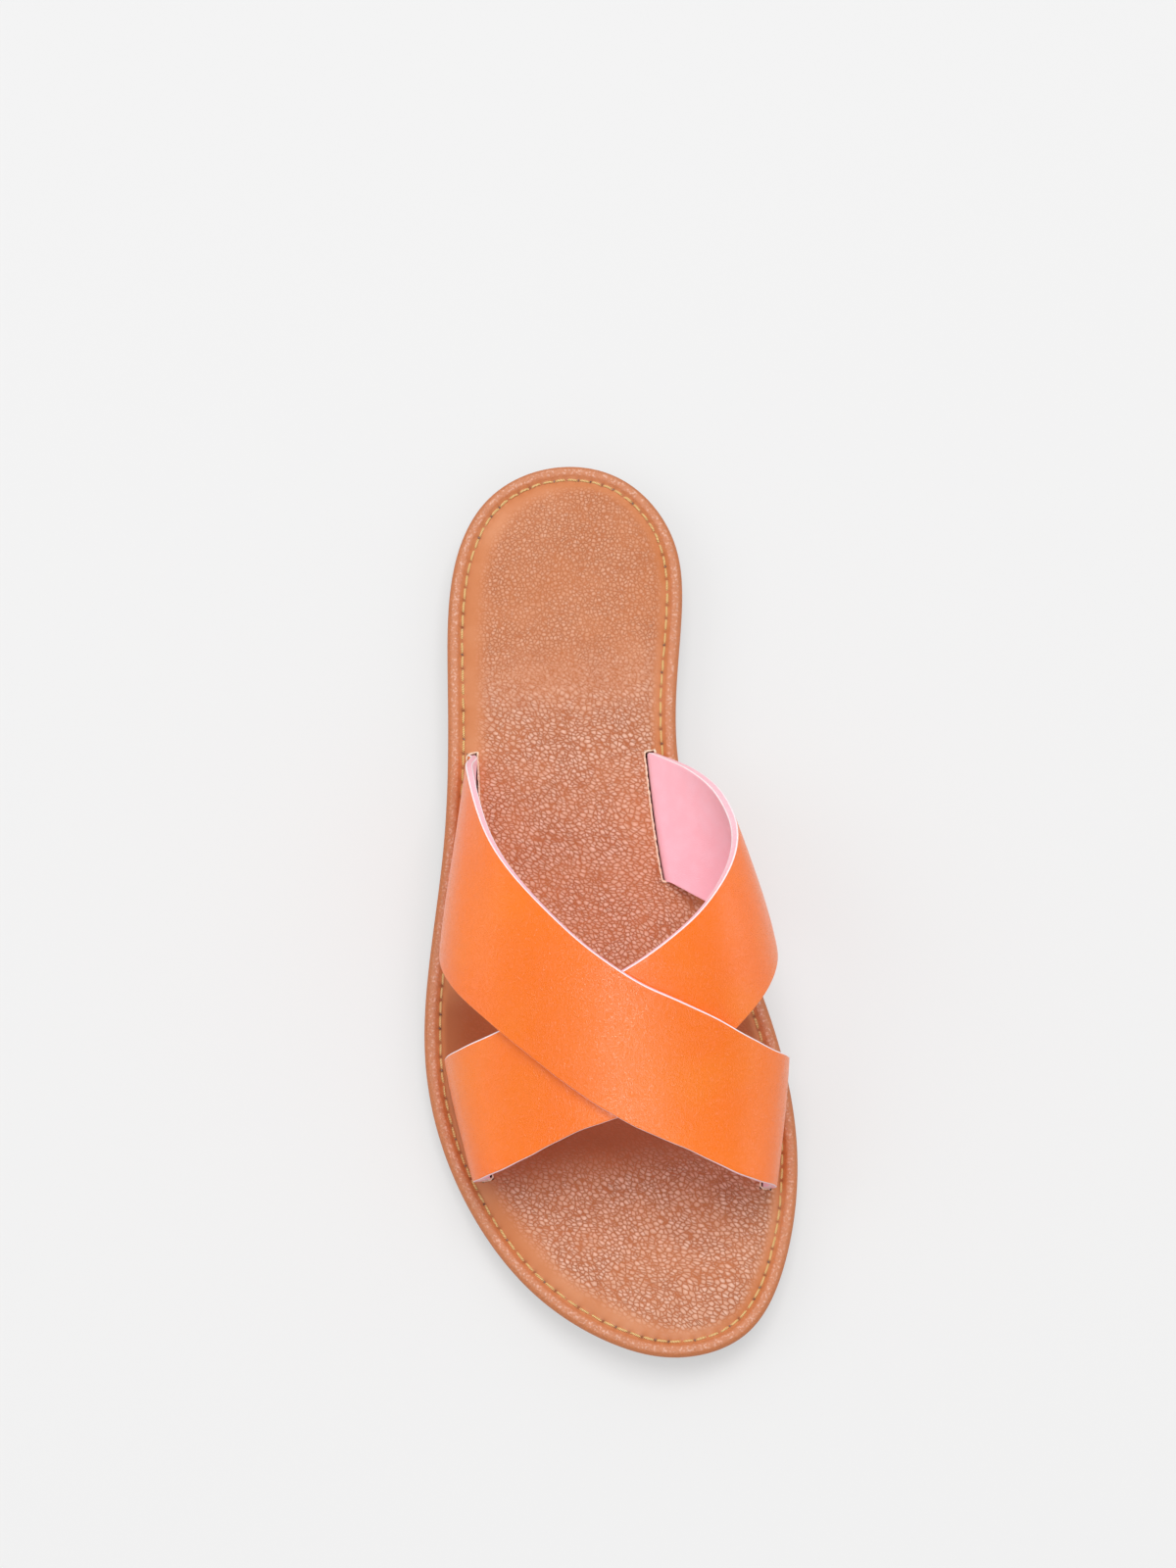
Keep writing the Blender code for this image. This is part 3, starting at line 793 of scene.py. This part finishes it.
def buildSlotEdges(slots):
    # the cover's raw cut edge round each slot, with fibres pulled up by the knife
    look = dict(
        lip=0.00027, lipSides=6, lipSteps=240, lipRange=(0.35, 1.5), lipRise=0.00002,
        fibres=34, fibreRadius=0.000050, fibreSides=4, fibreSteps=5, fibreRise=0.00008,
        reach=(0.0004, 0.0011), lift=0.00015)
    rng = np.random.default_rng(11)
    parts = []

    def strand(line, radius, sides):
        run = unit(np.gradient(line, axis=0))
        side = unit(np.cross(run, (0.0, 0.0, 1.0)) + 1e-9)
        parts.append(tube(line, side, np.cross(side, run), np.repeat(radius[:, None], sides, axis=1)))

    for edges, side in slots:
        left, right = slotSides(edges, side)
        loop = np.vstack([left, right[::-1], left[:1]])
        for _ in range(2):
            loop[1:-1] = 0.2 * loop[:-2] + 0.6 * loop[1:-1] + 0.2 * loop[2:]
        loop = evenly(loop, look["lipSteps"])
        t = np.arange(len(loop))
        ragged = 1 + 0.35 * np.sin(t * 0.9 + side) * np.sin(t * 0.23) + rng.uniform(-0.25, 0.25, len(t))
        line = np.column_stack([loop, coverZ(loop) + look["lipRise"]])
        strand(line, look["lip"] * np.clip(ragged, *look["lipRange"]), look["lipSides"])
        for _ in range(look["fibres"]):
            at = loop[rng.integers(0, len(loop))]
            way = rng.uniform(0, 2 * np.pi)
            long = rng.uniform(*look["reach"])
            k = np.linspace(-0.5, 0.5, look["fibreSteps"])
            bend = rng.uniform(-0.5, 0.5)
            flat = at + long * np.column_stack([
                k * math.cos(way) - bend * k ** 2 * math.sin(way),
                k * math.sin(way) + bend * k ** 2 * math.cos(way)])
            z = coverZ(flat) + look["fibreRise"] + rng.uniform(0, look["lift"]) * (1 - 4 * k ** 2)
            radius = look["fibreRadius"] * (1.3 - 2 * np.abs(k))
            strand(np.column_stack([flat, z]), radius, look["fibreSides"])
    piece = newPiece("slotRawEdges", *joined(parts), [rawCream], slot="tan_leather")
    outwards(piece)


def groovePath(count):
    # bottom of the stitch groove, with the same wander as the cover's
    ring = outlineRing(count // 2)
    inset = rim["width"] + handWobble(np.arange(count) / count, rim["wander"], 0.0)
    line = ring + inwardOf(ring) * inset[:, None]
    drop = rim["drop"] + rim["groove"]
    return np.column_stack([line, bedTopZ(line[:, 1]) - drop])


def buildStitches():
    count, fine = stitchCount(), stitching["pathSteps"]
    path = groovePath(count * fine)
    rng = np.random.default_rng(5)
    steps, sides = stitching["steps"], stitching["sides"]
    u = np.linspace(-1, 1, steps + 1)
    turn = np.linspace(0, 2 * np.pi, sides, endpoint=False)
    stitches, strands, loops = [], [], []
    for k in range(count):
        share = stitching["share"] + rng.uniform(*stitching["shareSpread"])
        t = np.linspace(0.5 - share / 2, 0.5 + share / 2, steps + 1)
        at = k * fine + t * fine
        i = at.astype(int) % len(path)
        j = (i + 1) % len(path)
        centre = path[i] + (path[j] - path[i]) * (at - np.floor(at))[:, None]
        run = unit(np.gradient(centre, axis=0))
        side = unit(np.column_stack([run[:, 1], -run[:, 0], np.zeros(steps + 1)]))
        up = unit(np.cross(side, run))
        rise = stitching["lay"] + stitching["arch"] - (stitching["sink"] + stitching["arch"]) * np.abs(u) ** 4
        lean = rng.uniform(-stitching["lean"], stitching["lean"])
        centre = centre + np.array([0, 0, 1]) * rise[:, None] + side * (lean * u)[:, None]
        twist = 2 * np.pi * stitching["twists"] * u / 2 + rng.uniform(0, 6)
        taper = np.sqrt(np.clip(1 - np.abs(u) ** 6 * 0.75, 0.05, 1))
        radius = stitching["radius"] * rng.uniform(*stitching["radiusSpread"])
        wave = np.cos(2 * (turn[None, :] - twist[:, None]))
        strands.append(0.5 + 0.5 * wave.ravel())
        plied = radius * taper[:, None] * (1 + stitching["plyDepth"] * wave)
        stitches.append(tube(centre, side, up, plied, stitching["squash"]))
        if rng.random() < stitching["bobbinShare"]:  # the bobbin thread shows at some of the holes
            loops.append(bobbinLoop(path[(k * fine) % len(path)], run[0], rng))
    thread = newPiece("rimStitches", *joined(stitches), [goldThread], slot="tan_leather")
    outwards(thread)
    setFloat(thread, "strand", np.concatenate(strands))
    outwards(newPiece("bobbinLoops", *joined(loops), [greyThread], slot="tan_leather"))
    return count


bobbin = dict(
    halfLength=0.00030, radius=0.00014, arch=0.00012, rise=0.00005, shift=0.0001, slant=0.0002,
    steps=6, sides=6)


def bobbinLoop(hole, run, rng):
    # a small bent loop of thread across the stitch line
    top = np.array([0, 0, 1])
    side = unit(np.array([run[1], -run[0], 0.0]))
    u = np.linspace(-1, 1, bobbin["steps"] + 1)
    shift = rng.uniform(-bobbin["shift"], bobbin["shift"])
    slant = rng.uniform(-bobbin["slant"], bobbin["slant"])
    line = hole + np.array([0, 0, bobbin["rise"]]) + side * (u * bobbin["halfLength"] + shift)[:, None]
    line = line + run * (slant * u)[:, None] + top * (bobbin["arch"] * (1 - u ** 2))[:, None]
    radius = bobbin["radius"] * np.sqrt(np.clip(1.02 - u ** 4, 0.05, 1))
    return tube(line, run, top, np.repeat(radius[:, None], bobbin["sides"], axis=1))


sole = dict(
    inset=0.0011, gap=0.0003, columns=84, halfSteps=300, heelSteps=110, border=0.0052,
    # round the side: metres in from the outsole's edge, share of the thickness above the underside
    side=(
        (0.0016, 1.0), (0.0004, 1.0), (0.0, 0.93), (0.0, 0.66), (0.00022, 0.62), (0.00022, 0.57),
        (0.0, 0.53), (0.0, 0.20), (0.00022, 0.07), (0.0008, 0.0), (0.0024, 0.0), (0.0046, 0.0),
    ),
    treadPitch=0.0046, treadWave=0.0026, treadLength=0.019, treadDepth=0.00062, borderFade=0.0012,
    # ends of the tread as shares of the length from the heel, with their fades
    foreTread=(0.53, 0.955), foreFade=0.02, heelTreadEnd=0.285, heelFade=0.006,
)


def tread(x, y, inset):
    # wavy grooves across the forefoot and the heel, plain at the border and the waist
    along = 0.5 - y / sandal["soleLength"]
    bent = y + sole["treadWave"] * np.sin(2 * np.pi * x / sole["treadLength"])
    wave = np.cos(2 * np.pi * bent / sole["treadPitch"])
    (first, last), fade = sole["foreTread"], sole["foreFade"]
    place = smooth((along - first) / fade) * smooth((last - along) / fade)
    place = place + smooth((sole["heelTreadEnd"] - along) / sole["heelFade"])
    inside = smooth((inset - sole["border"]) / sole["borderFade"])
    return sole["treadDepth"] * smooth((wave - 0.25) / 0.5) * place * inside


def soleBlock(name, ringAt, heights, slot):
    # rings round the stepped side, a plain top and a bottom with the tread
    rings = []
    for inset, share in sole["side"]:
        ring = ringAt(sole["inset"] + inset)
        low, high = heights(ring[:, 1])
        rings.append(np.column_stack([ring, low + (high - low) * share]))
    count, base = len(rings[0]), sum(len(r) for r in rings)

    def bottom(x, y):
        inset = insetOf(np.column_stack([x.ravel(), y.ravel()])).reshape(x.shape)
        return heights(y)[0] + tread(x, y, inset)

    top, topFaces = spanRing(0, rings[0], 3, lambda x, y: heights(y)[1], base)
    floor, floorFaces = spanRing(base - count, rings[-1], sole["columns"], bottom, base + len(top))
    faces = gridFaces(len(rings), count, closeColumns=True).tolist() + topFaces + floorFaces
    piece = newPiece(name, np.vstack(rings + [top, floor]), faces, [soleRubber], sharp=0.7, slot=slot)
    outwards(piece)
    return piece


def heelRing(inset):
    # the outline behind the breast line, with a point in the middle of the breast
    ring = outlineRing(sole["halfSteps"])
    ring = ring + inwardOf(ring) * inset
    half, breast = len(ring) // 2, float(toY(sandal["heelBreast"]))
    sides = []
    for line in (ring[:half], np.vstack([ring[:1], ring[:half:-1]])):
        run = lengths(line)
        want = np.linspace(0, np.interp(-breast, -line[:, 1], run), sole["heelSteps"] + 1)
        sides.append(np.column_stack([np.interp(want, run, line[:, k]) for k in (0, 1)]))
    middle = 0.5 * (sides[0][-1:] + sides[1][-1:])
    return np.vstack([sides[0], middle, sides[1][:0:-1]])


def buildSole():
    full = outlineRing(sole["halfSteps"])
    outsole = soleBlock(
        "outsoleTread", lambda inset: full + inwardOf(full) * inset,
        lambda y: (underZ(y), underZ(y) + sandal["outsole"]), "brown_rubber")
    heel = soleBlock("heelTread", heelRing, lambda y: (0 * y, underZ(y) - sole["gap"]), "brown_rubber")
    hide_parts("outsole")
    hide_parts("heel")
    return len(outsole.data.polygons) + len(heel.data.polygons)


footbed = buildFootbed()
print("footbed cover", len(footbed.data.polygons), "faces")
overBand, overEdges = buildBand(
    "strapOver", straps["over"], straps["thickness"] + straps["restGap"], straps["overTroughs"])
underBand, underEdges = buildBand("strapUnder", straps["under"], 0.0, straps["underTroughs"])
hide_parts("cross_straps")
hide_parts("cross_straps")
print("straps", len(overBand.data.polygons) + len(underBand.data.polygons), "faces")
slots = [(edges, side) for edges in (overEdges, underEdges) for side in (0, 1)]
cutSlots(footbed, [slotBlade(*slot) for slot in slots])
coverPlaces = positions(footbed)[:, :2]
for label, shareOf in (("inset", insetOf), ("grainShare", grainShare), ("strapShade", strapShadeShare)):
    setFloat(footbed, label, shareOf(coverPlaces))
buildSlotEdges(slots)
print("slots cut", len(footbed.data.polygons), "faces")
print("stitches", buildStitches())
print("sole", buildSole(), "faces")


view = dict(
    azimuth=-7.1, elevation=75.0, distance=1.2, lens=100.66, sensor=36.0,
    clip=(0.05, 20), imageSize=(1200, 1600),
    originAt=(598.1, 933.1),  # the model's origin in the photo's pixels
)


def makeCamera():
    data = bpy.data.cameras.new("photoCamera")
    data.sensor_width, data.lens = view["sensor"], view["lens"]
    data.clip_start, data.clip_end = view["clip"]
    camera = bpy.data.objects.new("photoCamera", data)
    bpy.context.scene.collection.objects.link(camera)
    a, e = math.radians(view["azimuth"]), math.radians(view["elevation"])
    back = Vector((math.sin(a) * math.cos(e), -math.cos(a) * math.cos(e), math.sin(e)))
    right = Vector((math.cos(a), math.sin(a), 0))
    up = back.cross(right)
    wide, tall = view["imageSize"]
    perPixel = view["distance"] * view["sensor"] / view["lens"] / tall  # metres a pixel at the origin
    dx = (view["originAt"][0] - wide / 2) * perPixel
    dy = (tall / 2 - view["originAt"][1]) * perPixel
    camera.location = back * view["distance"] - right * dx - up * dy
    camera.rotation_mode = "QUATERNION"
    camera.rotation_quaternion = (-back).to_track_quat("-Z", "Y")
    bpy.context.scene.camera = camera


def softbox(name, at, size, radiance, inReflections):
    # a rectangle facing the sandal, as bright as its radiance
    data = bpy.data.lights.new(name, "AREA")
    data.shape, data.size, data.size_y = "RECTANGLE", *size
    data.energy = radiance * math.pi * size[0] * size[1]
    lamp = bpy.data.objects.new(name, data)
    bpy.context.scene.collection.objects.link(lamp)
    lamp.location = at
    lamp.rotation_mode = "QUATERNION"
    lamp.rotation_quaternion = (-Vector(at)).to_track_quat("-Z", "Y")
    lamp.visible_diffuse, lamp.visible_glossy = not inReflections, inReflections


studio = dict(
    world=0.64, floor=(0.35, 0.35, 0.35), floorGlow=0.475, floorHalf=4.0,
    boxes=(
        # name, place, size, radiance, seen in reflections or else only lighting
        ("overheadBox", (0.25, 0.60, 2.25), (1.4, 1.4), 4.9, False),
        ("lateralKey", (-1.5, 0.3, 1.6), (1.3, 1.3), 1.0, False),
        ("lateralBox", (-1.9, -0.1, 0.26), (1.5, 0.40), 4.4, True),
        ("toeStrip", (-0.18, -1.25, 1.75), (0.13, 1.0), 66.0, True),
        ("heelBox", (-0.4, 1.6, 1.3), (0.7, 0.5), 10.0, True),
        ("medialBox", (1.8, -0.2, 0.36), (0.9, 0.5), 6.5, True),
    ),
)


def makeStudio():
    floorLook = Finish(
        "paleFloor", Base_Color=(*studio["floor"], 1), Roughness=0.95, Specular_IOR_Level=0.1,
        Emission_Color=(1, 1, 1, 1), Emission_Strength=studio["floorGlow"])
    mesh = bpy.data.meshes.new("floor")
    far = studio["floorHalf"]
    mesh.from_pydata([(-far, -far, 0), (far, -far, 0), (far, far, 0), (-far, far, 0)], [], [(0, 1, 2, 3)])
    mesh.materials.append(floorLook.material)
    floor = bpy.data.objects.new("floor", mesh)
    bpy.context.scene.collection.objects.link(floor)
    world = bpy.data.worlds.new("studio")
    world.use_nodes = True
    world.node_tree.nodes["Background"].inputs["Color"].default_value = (1, 1, 1, 1)
    world.node_tree.nodes["Background"].inputs["Strength"].default_value = studio["world"]
    bpy.context.scene.world = world
    world.cycles_visibility.glossy = False
    for box in studio["boxes"]:
        softbox(*box)
    bpy.context.scene.view_settings.view_transform = "Standard"


makeCamera()
makeStudio()
